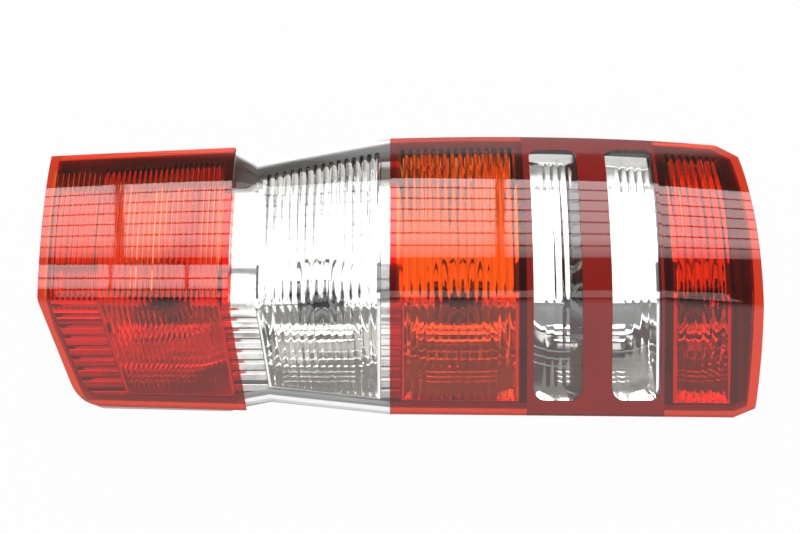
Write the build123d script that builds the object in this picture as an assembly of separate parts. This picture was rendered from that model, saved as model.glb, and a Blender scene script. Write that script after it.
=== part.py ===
from build123d import *
import math
import os

# Tail light cluster of a large van, lying on its back with the lens upwards.
# X runs along the lamp from its lower end to its upper end, Y across it and Z out of the lens.
# The broad curved rear face is on the +Y side of the crease, the flat side face on the -Y side.
# The origin is the centre of the four mounting studs, on the flat back of the housing. Millimetres.

# Lens fields along X
lower_end_x = -214.5
red_lower_length = 112.5
clear_length = 96.0
red_middle_length = 81.2
band_length = 81.6
red_upper_length = 58.2

# Plan outline of the lens, with the door edge at +Y and the side edge at -Y
door_edge_lower = 76.2
door_edge_step = 85.4
door_edge_waist = 74.9
door_edge_clear = 96.1
door_edge_crown = 98.1
door_edge_upper = 88.5
door_chamfer_x = 12.7
door_chamfer_y = 12.2
door_end_setback = 6.8
side_edge_lower = -84.0
side_edge_step = -86.4
side_edge_notch = -83.2
side_edge_waist = -80.1
side_edge_clear = -88.2
side_edge_upper = -90.1
side_chamfer_x = 13.0
side_chamfer_y = 4.7
side_end_setback = 4.0
lower_corner_cut_x = 24.3
lower_corner_radius = 20.0

# Lens section across the lamp
crease_y = -30.0
crease_z = 84.0
crease_half_width = 3.8
crease_bulge = 0.3
rear_radius = 157.2
rear_axis_y = -6.4
side_slope = 29.745
lens_wall = 3.4
upper_end_droop = 1.4

# Waist between the lower red field and the clear field
boundary_slant = 10.9
waist_run = 15.0
waist_step_rear = 1.5
waist_depth_rear = 5.6
waist_step_side = 1.0
waist_depth_side = 4.0

# Flutes moulded into the inside of the lens
flute_depth = 0.9
flute_crest = 0.15
flute_pitch_fine = 3.2
flute_pitch = 4.7
flute_margin = 4.5
flute_crease_gap = 6.0
flute_door_gap = 18.0
flute_side_gap = 14.0
flute_cutter = 3.0

# Clear bars set into the dark band
bar_width = 29.0
bar_offset = 4.0
bar_pitch = 46.6
bar_side_y = -82.5
bar_door_y = 83.0
bar_corner = 7.0

# Housing
lens_lip = 5.0
rim_wall = 1.5
weld_gap = 0.1
housing_wall = 2.5
flange_z = 38.5
flange_wall = 1.5
neck_inset = 8.0
shoulder_z = 26.0
tub_lower_space = 28.5
tub_upper_space = 14.0
tub_half_width = 58.0
tub_corner = 14.0
tub_draft = 4.0
gusset_pitch = 48.0
gusset_width = 2.0
gusset_reach = 7.0
gusset_foot_z = 10.0
gusset_overlap = 0.5
peg_radius = 4.0
peg_length = 7.0
peg_x = 90.0

# Reflector boxes
reflector_wall = 1.6
reflector_clearance = 1.0
reflector_door_space = 3.0
rim_below_lens = 4.0
dish_floor_z = 20.0
dish_floor_radius = 21.0
dish_angle = 27.5
dish_ledge_radius = 35.0
dish_ledge_pitch = 6.0
dish_ledge_width = 1.0
dish_ledges = 3
dish_reach = 95.0
dish_facets = 20
dish_hole_radius = 13.6
door_floor_angle = 12.5
pad_length = 12.0
pad_width = 6.0
fog_end_space = 34.5
fog_end_slant = 20.9
fog_boundary_space = 5.0
reverse_waist_space = 1.0
reverse_boundary_space = 5.6
brake_lower_space = 6.8
brake_upper_space = 4.4
turn_lower_space = 2.0
turn_upper_space = 2.8
tail_lower_space = 5.7
tail_end_space = 18.5

# Ribbed trims between the reflectors
trim_clearance = 0.3
trim_wall = 2.0
trim_rib_pitch = 5.5
trim_rib_height = 2.2
trim_rib_tip = 0.75
trim_side_reach = 75.0
trim_rear_reach = 97.5
trim_rear_middle = 40.0
trim_crease_step = 1.0
trim_foot = 3.0

# Bulbs and sockets
bulb_y = -4.0
cap_radius = 7.5
cap_base_z = 11.0
cap_length = 18.0
cap_pin_radius = 1.0
cap_pin_reach = 1.6
cap_pin_height = 8.0
glass_radius = 12.5
glass_neck_radius = 7.0
glass_length = 34.0
glass_neck = 4.0
glass_shoulder = 9.0
glass_dome = 5.0
socket_radius = 11.0
socket_clearance = 0.15
socket_top_z = 26.0
socket_slot = 2.6
contact_radius = 4.0
contact_thickness = 1.0

# Bulb carrier, in a recess in the back of the housing
recess_margin = 16.5
recess_half_width = 27.0
recess_depth = 14.0
recess_corner = 6.0
ceiling_hole_radius = 14.5
carrier_clearance = 0.8
carrier_plate = 3.0
carrier_rib_height = 5.0
carrier_rib_width = 2.0
seal_height = 2.0
seal_width = 4.0
track_thickness = 0.8
track_width = 2.4
track_pitch = 4.0
track_first_offset = 8.0
ground_offset = -12.0

# Connector on the back of the carrier
connector_length = 30.0
connector_width = 16.0
connector_wall = 1.6
connector_mouth_z = -8.0
connector_x = 76.0
pin_count = 6
pin_pitch = 4.0
pin_width = 2.0
pin_thickness = 0.8
pin_length = 10.0

# Mounting hardware
stud_spacing_x = 300.0
stud_spacing_y = 84.0
stud_radius = 3.0
stud_root_radius = 4.0
stud_tip_z = -18.0
stud_root_z = 12.0
stud_tip_chamfer = 0.8
stud_collar_radius = 6.0
stud_collar = 2.0
boss_radius = 8.5
boss_top_z = 14.5
body_seal_height = 2.0
body_seal_setback = 0.7
body_seal_clearance = 0.4
breather_end_space = 12.0
breather_y = 24.0
breather_radius = 6.0
breather_height = 5.0
breather_bore = 2.0

# Derived places
step_x = lower_end_x + red_lower_length
clear_end_x = step_x + clear_length
band_start_x = clear_end_x + red_middle_length
band_end_x = band_start_x + band_length
upper_end_x = band_end_x + red_upper_length
waist_x = step_x + waist_run
slant = math.tan(math.radians(boundary_slant))
end_slant = math.tan(math.radians(fog_end_slant))
rise = math.tan(math.radians(side_slope))
rear_axis_z = crease_z - math.sqrt(rear_radius**2 - (crease_y - rear_axis_y) ** 2)
rim_inset = lens_wall + rim_below_lens
tub_lower_x = lower_end_x + tub_lower_space
tub_upper_x = upper_end_x - tub_upper_space
breather_x = tub_lower_x + breather_end_space
plate_top_z = recess_depth - seal_height
plate_bottom_z = plate_top_z - carrier_plate
shoulder_top_z = shoulder_z + housing_wall
flange_top_z = flange_z + flange_wall
reach = 40.0
far_y = 150.0
rear_half_span = 120.0
base_z = -60.0
top_z = 130.0


def slanted_x(x, y):
    """X of a field boundary that is straight on the rear face and slants on the side face."""
    return x + slant * max(0.0, crease_y - y)


def rear_height(y, inset):
    """Height of the rear face, or of the surface that lies inset below it, over a point y."""
    return rear_axis_z + math.sqrt((rear_radius - inset) ** 2 - (y - rear_axis_y) ** 2)


def side_height(y, inset):
    """Height of the side face's plane, or of the plane that lies inset below it."""
    return crease_z + rise * (y - crease_y) - inset * math.hypot(1.0, rise)


def rear_drops(waisted):
    """How far the rear face lies below its arc at each station along X."""
    step = waist_step_rear if waisted else 0.0
    depth = waist_depth_rear if waisted else 0.0
    end_drop = upper_end_droop * (red_upper_length + reach) / red_upper_length
    return [
        (lower_end_x - reach, step),
        (step_x, step),
        (waist_x, depth),
        (clear_end_x, 0.0),
        (band_end_x, 0.0),
        (upper_end_x + reach, end_drop),
    ]


def side_drops(waisted):
    """The slant of each station of the side face, and how far the face lies below its plane there."""
    step = waist_step_side if waisted else 0.0
    depth = waist_depth_side if waisted else 0.0
    return [
        (lower_end_x - reach, 0.0, step),
        (step_x, slant, step),
        (waist_x, slant, depth),
        (clear_end_x, 0.0, 0.0),
        (upper_end_x + reach, 0.0, 0.0),
    ]


def rear_slab(inset, waisted):
    """Everything under the rear face: one arc carried along X, lower at the waist and the upper end."""
    y0 = rear_axis_y - rear_half_span
    y1 = rear_axis_y + rear_half_span
    stations = rear_drops(waisted)
    slab = Part()
    for (xa, drop_a), (xb, drop_b) in zip(stations, stations[1:]):
        start = Vector(xa, y0, rear_height(y0, inset) - drop_a)
        crown = Vector(xa, rear_axis_y, rear_height(rear_axis_y, inset) - drop_a)
        end = Vector(xa, y1, rear_height(y1, inset) - drop_a)
        foot_start = Vector(xa, y0, base_z)
        foot_end = Vector(xa, y1, base_z)
        section = Wire(
            [
                Edge.make_line(foot_start, start),
                Edge.make_three_point_arc(start, crown, end),
                Edge.make_line(end, foot_end),
                Edge.make_line(foot_end, foot_start),
            ]
        )
        slab += Solid.extrude(Face(section), Vector(xb - xa, 0.0, drop_a - drop_b))
    return slab


def side_slab(inset, waisted):
    """Everything under the side face: planes between stations that stand upright along the slant."""

    def station(x, lean, drop):
        xa = x + lean * (crease_y + far_y)
        xb = x + lean * (crease_y - far_y)
        return Wire.make_polygon(
            [
                (xa, -far_y, base_z),
                (xa, -far_y, side_height(-far_y, inset) - drop),
                (xb, far_y, side_height(far_y, inset) - drop),
                (xb, far_y, base_z),
            ],
            close=True,
        )

    stations = [station(*place) for place in side_drops(waisted)]
    slab = Part()
    for first, second in zip(stations, stations[1:]):
        slab += Solid.make_loft([first, second], ruled=True)
    return slab


def crease_slab(waisted):
    """Everything under the rounded crease: a short arc with straight ends, carried along the crease."""
    rear_slope = (rear_axis_y - crease_y) / (crease_z - rear_axis_z)
    y0 = crease_y - crease_half_width
    y1 = crease_y + crease_half_width
    low = side_height(y0, 0.0)
    high = rear_height(y1, 0.0)
    middle = (low + high) / 2
    top = middle + crease_bulge * (crease_z - middle)
    chord = math.atan2(high - low, y1 - y0)
    bend = 2 * math.atan2(top - middle, crease_half_width / math.cos(chord))
    side_end = low - math.tan(chord + bend) * (far_y + y0)
    rear_end = high + math.tan(chord - bend) * (far_y - y1)
    side_fall = dict((x, drop) for x, _, drop in side_drops(waisted))
    stations = []
    for x, rear_drop in rear_drops(waisted):
        side_drop = side_fall.get(x, 0.0)
        shift = (side_drop - rear_drop) / (rise - rear_slope)
        stations.append(Vector(x, shift, rise * shift - side_drop))
    slab = Part()
    for first, second in zip(stations, stations[1:]):
        side_corner = Vector(0.0, y0, low) + first
        crown = Vector(0.0, crease_y - math.sin(chord) * (top - middle), top) + first
        rear_corner = Vector(0.0, y1, high) + first
        side_far = Vector(0.0, -far_y, side_end) + first
        rear_far = Vector(0.0, far_y, rear_end) + first
        side_foot = Vector(first.X, side_far.Y, base_z)
        rear_foot = Vector(first.X, rear_far.Y, base_z)
        section = Wire(
            [
                Edge.make_line(side_foot, side_far),
                Edge.make_line(side_far, side_corner),
                Edge.make_three_point_arc(side_corner, crown, rear_corner),
                Edge.make_line(rear_corner, rear_far),
                Edge.make_line(rear_far, rear_foot),
                Edge.make_line(rear_foot, side_foot),
            ]
        )
        slab += Solid.extrude(Face(section), second - first)
    return slab


def roof(inset, waisted):
    """Everything under the two lens faces, or under the surfaces that lie inset below them."""
    return rear_slab(inset, waisted) & side_slab(inset, waisted)


def lens_shell(waisted):
    """The lens wall, with the outer crease between its two faces rounded."""
    return (roof(0.0, waisted) & crease_slab(waisted)) - roof(lens_wall, waisted)


def cover(inset):
    """Everything that lies inset below the whole lens: the plain lower field, the waist and the rest."""
    lower = prism(field(lower_end_x - reach, 0.0, step_x, slant), base_z, top_z)
    return (roof(inset, False) & lower) + (roof(inset, True) - lower)


def plan_face(points):
    """A flat face in plan, from its corners."""
    return make_face(Polyline(*points, close=True))


def prism(face, z0, z1):
    """A plan face raised from z0 to z1."""
    return extrude(Pos(0, 0, z0) * face, amount=z1 - z0)


def box(x0, x1, y0, y1, z0, z1):
    """A block between two corners."""
    return Pos((x0 + x1) / 2, (y0 + y1) / 2, (z0 + z1) / 2) * Box(x1 - x0, y1 - y0, z1 - z0)


def rod(x, y, z0, z1, radius):
    """An upright round bar."""
    return Pos(x, y, (z0 + z1) / 2) * Cylinder(radius, z1 - z0)


def lens_outline():
    """The lens outline in plan: straight runs, a bowed door edge and a bowed upper end."""
    corner = (lower_end_x + lower_corner_cut_x, side_edge_lower)
    side_upper = (upper_end_x - side_end_setback, side_edge_upper + side_chamfer_y)
    door_upper = (upper_end_x - door_end_setback, door_edge_upper - door_chamfer_y)
    chamfer_start = (door_upper[0] - door_chamfer_x, door_edge_upper)
    runs = [
        Polyline(
            (lower_end_x, door_edge_lower),
            (lower_end_x, crease_y),
            corner,
            (slanted_x(step_x, side_edge_step), side_edge_step),
            (slanted_x(step_x, side_edge_notch), side_edge_notch),
            (slanted_x(waist_x, side_edge_waist), side_edge_waist),
            (clear_end_x, side_edge_clear),
            (side_upper[0] - side_chamfer_x, side_edge_upper),
            side_upper,
        ),
        ThreePointArc(side_upper, (upper_end_x, crease_y), door_upper),
        Line(door_upper, chamfer_start),
        ThreePointArc(chamfer_start, (band_start_x, door_edge_crown), (clear_end_x, door_edge_clear)),
        Polyline(
            (clear_end_x, door_edge_clear),
            (waist_x, door_edge_waist),
            (step_x, door_edge_step),
            (lower_end_x, door_edge_lower),
        ),
    ]
    outline = make_face(runs)
    sharp = outline.vertices().sort_by_distance((corner[0], corner[1], 0.0))[0]
    return fillet(sharp, lower_corner_radius)


def field(x0, lean0, x1, lean1):
    """The strip of plan between two field boundaries."""
    return plan_face(
        [
            (x0, far_y),
            (x0, crease_y),
            (x0 + lean0 * (crease_y + far_y), -far_y),
            (x1 + lean1 * (crease_y + far_y), -far_y),
            (x1, crease_y),
            (x1, far_y),
        ]
    )


def zigzag(length, pitch, low, tip, root):
    """Corners of a row of V grooves along a line, closed by a base line at low."""
    count = int(length / pitch)
    start = (length - count * pitch) / 2
    points = [(start, low), (start, tip)]
    for index in range(count):
        points.append((start + (index + 0.5) * pitch, root))
        points.append((start + (index + 1) * pitch, tip))
    points.append((start + count * pitch, low))
    return points


def rear_flutes(x0, drop0, x1, drop1, pitch, door_y):
    """Grooves to cut from inside the rear face: V profiles turned about the face's own axis."""
    inner = rear_radius - lens_wall
    origin = Vector(x0, rear_axis_y, rear_axis_z - drop0)
    along = Vector(x1 - x0, 0.0, drop0 - drop1)
    first = math.asin((door_y - flute_door_gap - rear_axis_y) / inner)
    last = math.asin((crease_y + flute_crease_gap - rear_axis_y) / inner)
    normal = along.normalized().cross(Vector(0.0, math.sin(first), math.cos(first)))
    plane = Plane(origin, x_dir=along, z_dir=normal)
    grooves = zigzag(along.length, pitch, inner - flute_cutter, inner + flute_crest, inner + flute_depth)
    profile = plan_face(grooves)
    return revolve(plane * profile, axis=Axis(origin, along), revolution_arc=math.degrees(first - last))


def side_flutes(x0, drop0, x1, drop1, pitch, side_y):
    """Grooves to cut from inside the side face: V profiles carried down its slope."""
    upper_y = crease_y - flute_crease_gap
    lower_y = side_y + flute_side_gap
    origin = Vector(x0, upper_y, side_height(upper_y, lens_wall) - drop0)
    along = Vector(x1 - x0, 0.0, drop0 - drop1)
    down = Vector(0.0, lower_y - upper_y, rise * (lower_y - upper_y))
    plane = Plane(origin, x_dir=along, z_dir=down)
    outward = 1.0 if plane.y_dir.Z > 0 else -1.0
    profile = plan_face(
        [(u, outward * n) for u, n in zigzag(along.length, pitch, -flute_cutter, flute_crest, flute_depth)]
    )
    return Solid.extrude((plane * profile).face(), down)


def fluted(shot, x0, drop_rear0, drop_side0, x1, drop_rear1, drop_side1, pitch, side_x, door_y, side_y):
    """A lens shot with its flutes cut; side_x is where the flutes start on the side face."""
    shot = shot - rear_flutes(x0, drop_rear0, x1, drop_rear1, pitch, door_y)
    return shot - side_flutes(side_x, drop_side0, x1, drop_side1, pitch, side_y)


def bar_plan(index):
    """Plan of one clear bar: a long rectangle with rounded corners."""
    x = band_start_x + bar_offset + index * bar_pitch + bar_width / 2
    length = bar_door_y - bar_side_y
    return Pos(x, (bar_door_y + bar_side_y) / 2) * RectangleRounded(bar_width, length, bar_corner)


def lens_shots():
    """The colour shots of the lens, each a piece of one shell, meeting face to face."""
    outline = prism(lens_outline(), base_z, top_z)
    shell = lens_shell(True) & outline
    plain_shell = lens_shell(False) & outline
    lower = field(lower_end_x - reach, 0.0, step_x, slant)
    clear = field(step_x, slant, clear_end_x, 0.0)
    middle = field(clear_end_x, 0.0, band_start_x, 0.0)
    band = field(band_start_x, 0.0, band_end_x, 0.0)
    upper = field(band_end_x, 0.0, upper_end_x + reach, 0.0)
    shots = {
        "lens_red_lower": plain_shell & prism(lower, base_z, top_z),
        "lens_clear": shell & prism(clear, base_z, top_z),
        "lens_red_middle": shell & prism(middle, base_z, top_z),
        "lens_dark_band": shell & prism(band, base_z, top_z),
        "lens_red_upper": shell & prism(upper, base_z, top_z),
    }
    for index, name in enumerate(("lens_bar_lower", "lens_bar_upper")):
        cutter = prism(bar_plan(index), base_z, top_z)
        shots[name] = shots["lens_dark_band"] & cutter
        shots["lens_dark_band"] -= cutter

    flute_start = lower_end_x + flute_margin
    flute_side_start = lower_end_x + fog_end_space
    lower_stop = step_x - flute_margin
    shots["lens_red_lower"] = fluted(
        shots["lens_red_lower"], flute_start, 0.0, 0.0, lower_stop, 0.0, 0.0,
        flute_pitch_fine, flute_side_start, door_edge_lower, side_edge_lower,
    )
    ramp = clear_end_x - waist_x
    clear_start = waist_x + flute_margin
    clear_side_start = slanted_x(waist_x, side_edge_waist) + flute_margin
    clear_stop = clear_end_x - flute_margin
    rear_fall = waist_depth_rear / ramp
    side_fall = waist_depth_side / ramp
    shots["lens_clear"] = fluted(
        shots["lens_clear"], clear_start, rear_fall * (clear_end_x - clear_start),
        side_fall * (clear_end_x - clear_side_start), clear_stop, rear_fall * flute_margin,
        side_fall * flute_margin, flute_pitch, clear_side_start, door_edge_waist, side_edge_waist,
    )
    shots["lens_red_middle"] = fluted(
        shots["lens_red_middle"], clear_end_x + flute_margin, 0.0, 0.0, band_start_x - flute_margin, 0.0, 0.0,
        flute_pitch, clear_end_x + flute_margin, door_edge_clear, side_edge_clear,
    )
    for index, name in enumerate(("lens_bar_lower", "lens_bar_upper")):
        x = band_start_x + bar_offset + index * bar_pitch
        shots[name] = fluted(
            shots[name], x, 0.0, 0.0, x + bar_width, 0.0, 0.0,
            flute_pitch, x, bar_door_y, bar_side_y,
        )
    droop = upper_end_droop / red_upper_length
    upper_start = band_end_x + flute_margin
    upper_stop = upper_end_x - tail_end_space
    shots["lens_red_upper"] = fluted(
        shots["lens_red_upper"], upper_start, droop * flute_margin, 0.0,
        upper_stop, droop * (upper_stop - band_end_x), 0.0,
        flute_pitch, upper_start, door_edge_upper - door_chamfer_y, side_edge_upper,
    )
    return shots


def inset_outline(amount):
    """The lens outline moved inwards."""
    return offset(lens_outline(), amount=-amount, kind=Kind.INTERSECTION)


def chamber(x0, lean0, x1, lean1, shrink):
    """Plan of a reflector box between two walls, clear of the housing's rim on the side half, else of its neck."""
    side_half = Pos(0, bulb_y - far_y) * Rectangle(4 * far_y, 2 * far_y)
    side_limit = inset_outline(lens_lip + rim_wall + reflector_clearance + shrink) & side_half
    limit = side_limit + inset_outline(neck_inset + housing_wall + reflector_door_space + shrink)
    return field(x0 + shrink, lean0, x1 - shrink, lean1) & limit


chambers = {
    "fog": (lower_end_x + fog_end_space, end_slant, step_x - fog_boundary_space, slant),
    "reverse": (waist_x + reverse_waist_space, slant, clear_end_x - reverse_boundary_space, 0.0),
    "brake": (clear_end_x + brake_lower_space, 0.0, band_start_x - brake_upper_space, 0.0),
    "turn": (band_start_x + turn_lower_space, 0.0, band_end_x - turn_upper_space, 0.0),
    "tail": (band_end_x + tail_lower_space, 0.0, upper_end_x - tail_end_space, 0.0),
}
bulb_x = {name: (x0 + x1) / 2 for name, (x0, _, x1, _) in chambers.items()}
half_length = {name: (x1 - x0) / 2 for name, (x0, _, x1, _) in chambers.items()}
dish_stretch = {name: max(0.0, half - dish_floor_radius) for name, half in half_length.items()}


def dish_section():
    """Radii and heights of a reflector's floor from the bulb outwards: a flat, then a slope with ledges."""
    climb = math.tan(math.radians(dish_angle))
    corners = [(dish_floor_radius, dish_floor_z)]
    for index in range(dish_ledges):
        radius, height = corners[-1]
        ledge_radius = dish_ledge_radius + index * dish_ledge_pitch
        height += climb * (ledge_radius - radius)
        corners += [(ledge_radius, height), (ledge_radius + dish_ledge_width, height)]
    radius, height = corners[-1]
    return corners + [(dish_reach, height + climb * (dish_reach - radius))]


def dish_plan(name, radius):
    """Plan of a reflector's floor at one height: a polygon about the bulb, drawn out along the lamp."""
    corners = []
    for index in range(dish_facets):
        angle = 2 * math.pi * (index + 0.5) / dish_facets
        u = radius * math.cos(angle)
        x = bulb_x[name] + u + math.copysign(dish_stretch[name], u)
        corners.append((x, bulb_y + radius * math.sin(angle)))
    return plan_face(corners)


def dish(name, sink):
    """Everything above a reflector's floor, or above the surface that lies sink below it.

    On the side-face half the floor is a faceted bowl round the bulb. On the rear-face half it is a trough
    of the same section that rises towards the door edge.
    """
    corners = [(radius, height - sink) for radius, height in dish_section()]
    flat = math.cos(math.pi / dish_facets)
    bowl = prism(dish_plan(name, dish_reach), corners[-1][1], top_z)
    for (low_radius, low_z), (high_radius, high_z) in zip(corners[::2], corners[1::2]):
        spread = math.degrees(math.atan2((high_radius - low_radius) * flat, high_z - low_z))
        top = Pos(0, 0, high_z) * dish_plan(name, high_radius)
        bowl += extrude(top, amount=low_z - high_z, taper=spread)
    x = bulb_x[name]
    half = dish_stretch[name] + dish_reach
    bowl &= box(x - half, x + half, bulb_y - half, bulb_y, base_z, top_z)
    section = [(dish_stretch[name] + radius * flat, height) for radius, height in corners]
    outline = [(x - u, bulb_y, height) for u, height in reversed(section)]
    outline += [(x + u, bulb_y, height) for u, height in section]
    outline += [(x + section[-1][0], bulb_y, top_z), (x - section[-1][0], bulb_y, top_z)]
    run = far_y - bulb_y
    climb = run * math.tan(math.radians(door_floor_angle))
    return bowl + Solid.extrude(Face(Wire.make_polygon(outline, close=True)), Vector(0, run, climb))


def reflector(name, ceiling, rim_floor, underside):
    """An open box under the lens: a rim that follows the lens, and a stepped floor with a hole for the bulb."""
    x0, lean0, x1, lean1 = chambers[name]
    outside = prism(chamber(x0, lean0, x1, lean1, 0.0), base_z, top_z)
    inside = prism(chamber(x0, lean0, x1, lean1, reflector_wall), base_z, top_z)
    space = outside & ceiling
    body = (space - rim_floor) + (space & underside)
    body -= inside & dish(name, 0.0)
    hole = Pos(bulb_x[name], bulb_y) * RegularPolygon(dish_hole_radius, dish_facets)
    return body - prism(hole, base_z, top_z)


def ribbed_trim(x0, lean0, x1, lean1, drop):
    """A curved strip between two reflectors, with a row of sharp ribs down the side face."""
    high_y = rear_axis_y + trim_rear_reach
    middle_y = rear_axis_y + trim_rear_middle
    start_y = crease_y + trim_crease_step
    count = int(trim_side_reach / trim_rib_pitch)
    ribs = []
    for index in range(count + 1):
        y = crease_y - index * trim_rib_pitch
        z = side_height(y, rim_inset + trim_rib_height) - drop
        ribs.append((0.0, y, z))
        if index < count:
            tip_y = y - trim_rib_pitch * trim_rib_tip
            ribs.append((0.0, tip_y, side_height(tip_y, rim_inset) - drop))
    foot = (0.0, ribs[-1][1], ribs[-1][2] - trim_foot)
    top = rim_inset + trim_rib_height
    under = top + trim_wall
    start = ribs[0]
    rear_start = (0.0, start_y, rear_height(start_y, top) - drop)
    rear_mid = (0.0, middle_y, rear_height(middle_y, top) - drop)
    rear_end = (0.0, high_y, rear_height(high_y, top) - drop)
    under_end = (0.0, high_y, rear_height(high_y, under) - drop)
    under_mid = (0.0, middle_y, rear_height(middle_y, under) - drop)
    under_start = (0.0, start_y, rear_height(start_y, under) - drop)
    section = make_face(
        [
            Polyline(*reversed(ribs)),
            Line(start, rear_start),
            ThreePointArc(rear_start, rear_mid, rear_end),
            Line(rear_end, under_end),
            ThreePointArc(under_end, under_mid, under_start),
            Polyline(under_start, foot, ribs[-1]),
        ]
    )
    length = x1 - x0 + 2 * reach
    strip = Solid.extrude((Pos(x0 - reach, 0, 0) * section).face(), Vector(length, 0, 0))
    gap = field(x0 + trim_clearance, lean0, x1 - trim_clearance, lean1)
    limit = inset_outline(lens_lip + rim_wall + trim_clearance)
    return strip & prism(gap & limit, flange_top_z + trim_clearance, top_z)


def housing(undersides):
    """A deep moulded tub: a rim on a flange, a neck, a shoulder, and a back with a carrier recess."""
    rim = inset_outline(lens_lip)
    inner = inset_outline(lens_lip + rim_wall)
    neck = inset_outline(neck_inset)
    throat = inset_outline(neck_inset + housing_wall)
    tub_length = tub_upper_x - tub_lower_x
    tub_x = (tub_upper_x + tub_lower_x) / 2
    mouth = Pos(tub_x, 0, 0) * RectangleRounded(tub_length, 2 * tub_half_width, tub_corner)
    inside = Pos(tub_x, 0, 0) * RectangleRounded(
        tub_length - 2 * housing_wall, 2 * (tub_half_width - housing_wall), tub_corner - housing_wall
    )
    body = prism(rim, flange_z, top_z) & cover(lens_wall + weld_gap)
    body -= prism(inner, flange_top_z, top_z)
    body += prism(neck, shoulder_z, flange_top_z)
    body -= prism(throat, shoulder_top_z, flange_top_z)
    tub = extrude(Pos(0, 0, shoulder_top_z) * mouth, amount=-shoulder_top_z, taper=tub_draft)
    hollow = extrude(
        Pos(0, 0, shoulder_top_z) * inside, amount=housing_wall - shoulder_top_z, taper=tub_draft
    )
    body += tub
    body -= hollow
    x0, x1 = recess_ends()
    recess_x = (x0 + x1) / 2
    pocket = Pos(recess_x, bulb_y, 0) * RectangleRounded(x1 - x0, 2 * recess_half_width, recess_corner)
    shell = offset(pocket, amount=housing_wall)
    body += prism(shell, 0.0, recess_depth + housing_wall)
    body -= prism(pocket, base_z, recess_depth)
    for x in bulb_x.values():
        body -= rod(x, bulb_y, 0.0, recess_depth + 2 * housing_wall, ceiling_hole_radius)
    for x, y in stud_places():
        body += rod(x, y, 0.0, boss_top_z, boss_radius)
        body -= rod(x, y, base_z, stud_root_z, stud_root_radius)
        body -= rod(x, y, stud_root_z - stud_collar, stud_root_z, stud_collar_radius)
    for name, x in bulb_x.items():
        for y in (tub_half_width + pad_width / 2, -tub_half_width - pad_width / 2):
            pad = box(
                x - pad_length / 2, x + pad_length / 2, y - pad_width / 2, y + pad_width / 2,
                shoulder_top_z, flange_top_z,
            )
            body += pad - undersides[name]
    for side in (-1, 1):
        body += rod(side * peg_x, side * stud_spacing_y / 2, -peg_length, housing_wall, peg_radius)
    body += gussets()
    bore = rod(breather_x, breather_y, base_z, housing_wall * 2, breather_bore)
    return body - bore


def gussets():
    """Upright three-cornered ribs between the shoulder and the tub's long walls."""
    ribs = Part()
    count = int((tub_upper_x - tub_lower_x - 2 * tub_corner) / gusset_pitch)
    start = (tub_upper_x + tub_lower_x - count * gusset_pitch) / 2
    lean = math.tan(math.radians(tub_draft)) * shoulder_z
    for index in range(count + 1):
        x = start + index * gusset_pitch
        for side in (-1, 1):
            wall = side * (tub_half_width - housing_wall / 2)
            rib = Face(
                Wire.make_polygon(
                    [
                        (x - gusset_width / 2, wall - side * lean, gusset_foot_z),
                        (x - gusset_width / 2, wall + side * gusset_reach, shoulder_z + housing_wall / 2),
                        (x - gusset_width / 2, wall - side * gusset_overlap, shoulder_z + housing_wall / 2),
                    ],
                    close=True,
                )
            )
            ribs += Solid.extrude(rib, Vector(gusset_width, 0, 0))
    return ribs


def recess_ends():
    """Lower and upper X of the carrier recess."""
    return bulb_x["fog"] - recess_margin, bulb_x["tail"] + recess_margin


def stud_places():
    """Centres of the four studs."""
    return [
        (sx * stud_spacing_x / 2, sy * stud_spacing_y / 2) for sx in (-1, 1) for sy in (-1, 1)
    ]


def carrier_plan(inset):
    """Plan of the carrier plate, in the recess with a clearance, or of a smaller outline."""
    x0, x1 = recess_ends()
    shrink = 2 * (carrier_clearance + inset)
    size_x = x1 - x0 - shrink
    size_y = 2 * recess_half_width - shrink
    corner = recess_corner - carrier_clearance - min(inset, recess_corner / 2)
    return Pos((x0 + x1) / 2, bulb_y) * RectangleRounded(size_x, size_y, corner)


def bulb_carrier():
    """A flat plate with five slotted sockets above and stiffening ribs below."""
    plate = prism(carrier_plan(0.0), plate_bottom_z, plate_top_z)
    frame = carrier_plan(0.0) - carrier_plan(carrier_rib_width)
    plate += prism(frame, plate_bottom_z - carrier_rib_height, plate_bottom_z)
    for x in bulb_x.values():
        plate += rod(x, bulb_y, plate_top_z, socket_top_z, socket_radius)
        floor = cap_base_z - contact_thickness
        plate -= rod(x, bulb_y, floor, socket_top_z, cap_radius + socket_clearance)
        slot_z = cap_base_z + cap_pin_height - 2 * cap_pin_radius
        reach_x = cap_radius + cap_pin_reach + socket_clearance
        plate -= box(
            x - reach_x, x + reach_x, bulb_y - socket_slot / 2, bulb_y + socket_slot / 2, slot_z, socket_top_z
        )
    return plate


def carrier_seal():
    """A flat rubber ring between the carrier plate and the housing."""
    return prism(carrier_plan(0.0) - carrier_plan(seal_width), plate_top_z, recess_depth)


def bulb_cap(x):
    """A plain bayonet cap with its two side pins."""
    cap = rod(x, bulb_y, cap_base_z, cap_base_z + cap_length, cap_radius)
    reach_x = cap_radius + cap_pin_reach
    pin_side = 2 * cap_pin_radius
    pins = Pos(x, bulb_y, cap_base_z + cap_pin_height) * Box(2 * reach_x, pin_side, pin_side)
    return cap + pins


def bulb_glass(x):
    """A bulb turned from a short profile: neck, shoulder, barrel and a blunt top."""
    z0 = cap_base_z + cap_length
    z1 = z0 + glass_length
    section = plan_face(
        [
            (0, 0, z0),
            (glass_neck_radius, 0, z0),
            (glass_neck_radius, 0, z0 + glass_neck),
            (glass_radius, 0, z0 + glass_neck + glass_shoulder),
            (glass_radius, 0, z1 - glass_dome),
            (glass_radius - glass_dome, 0, z1),
            (0, 0, z1),
        ]
    )
    return Pos(x, bulb_y, 0) * revolve(section, axis=Axis.Z)


def centre_contacts():
    """Round contacts in the bottom of the sockets."""
    floor = cap_base_z - contact_thickness
    return [rod(x, bulb_y, floor, cap_base_z, contact_radius) for x in bulb_x.values()]


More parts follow.
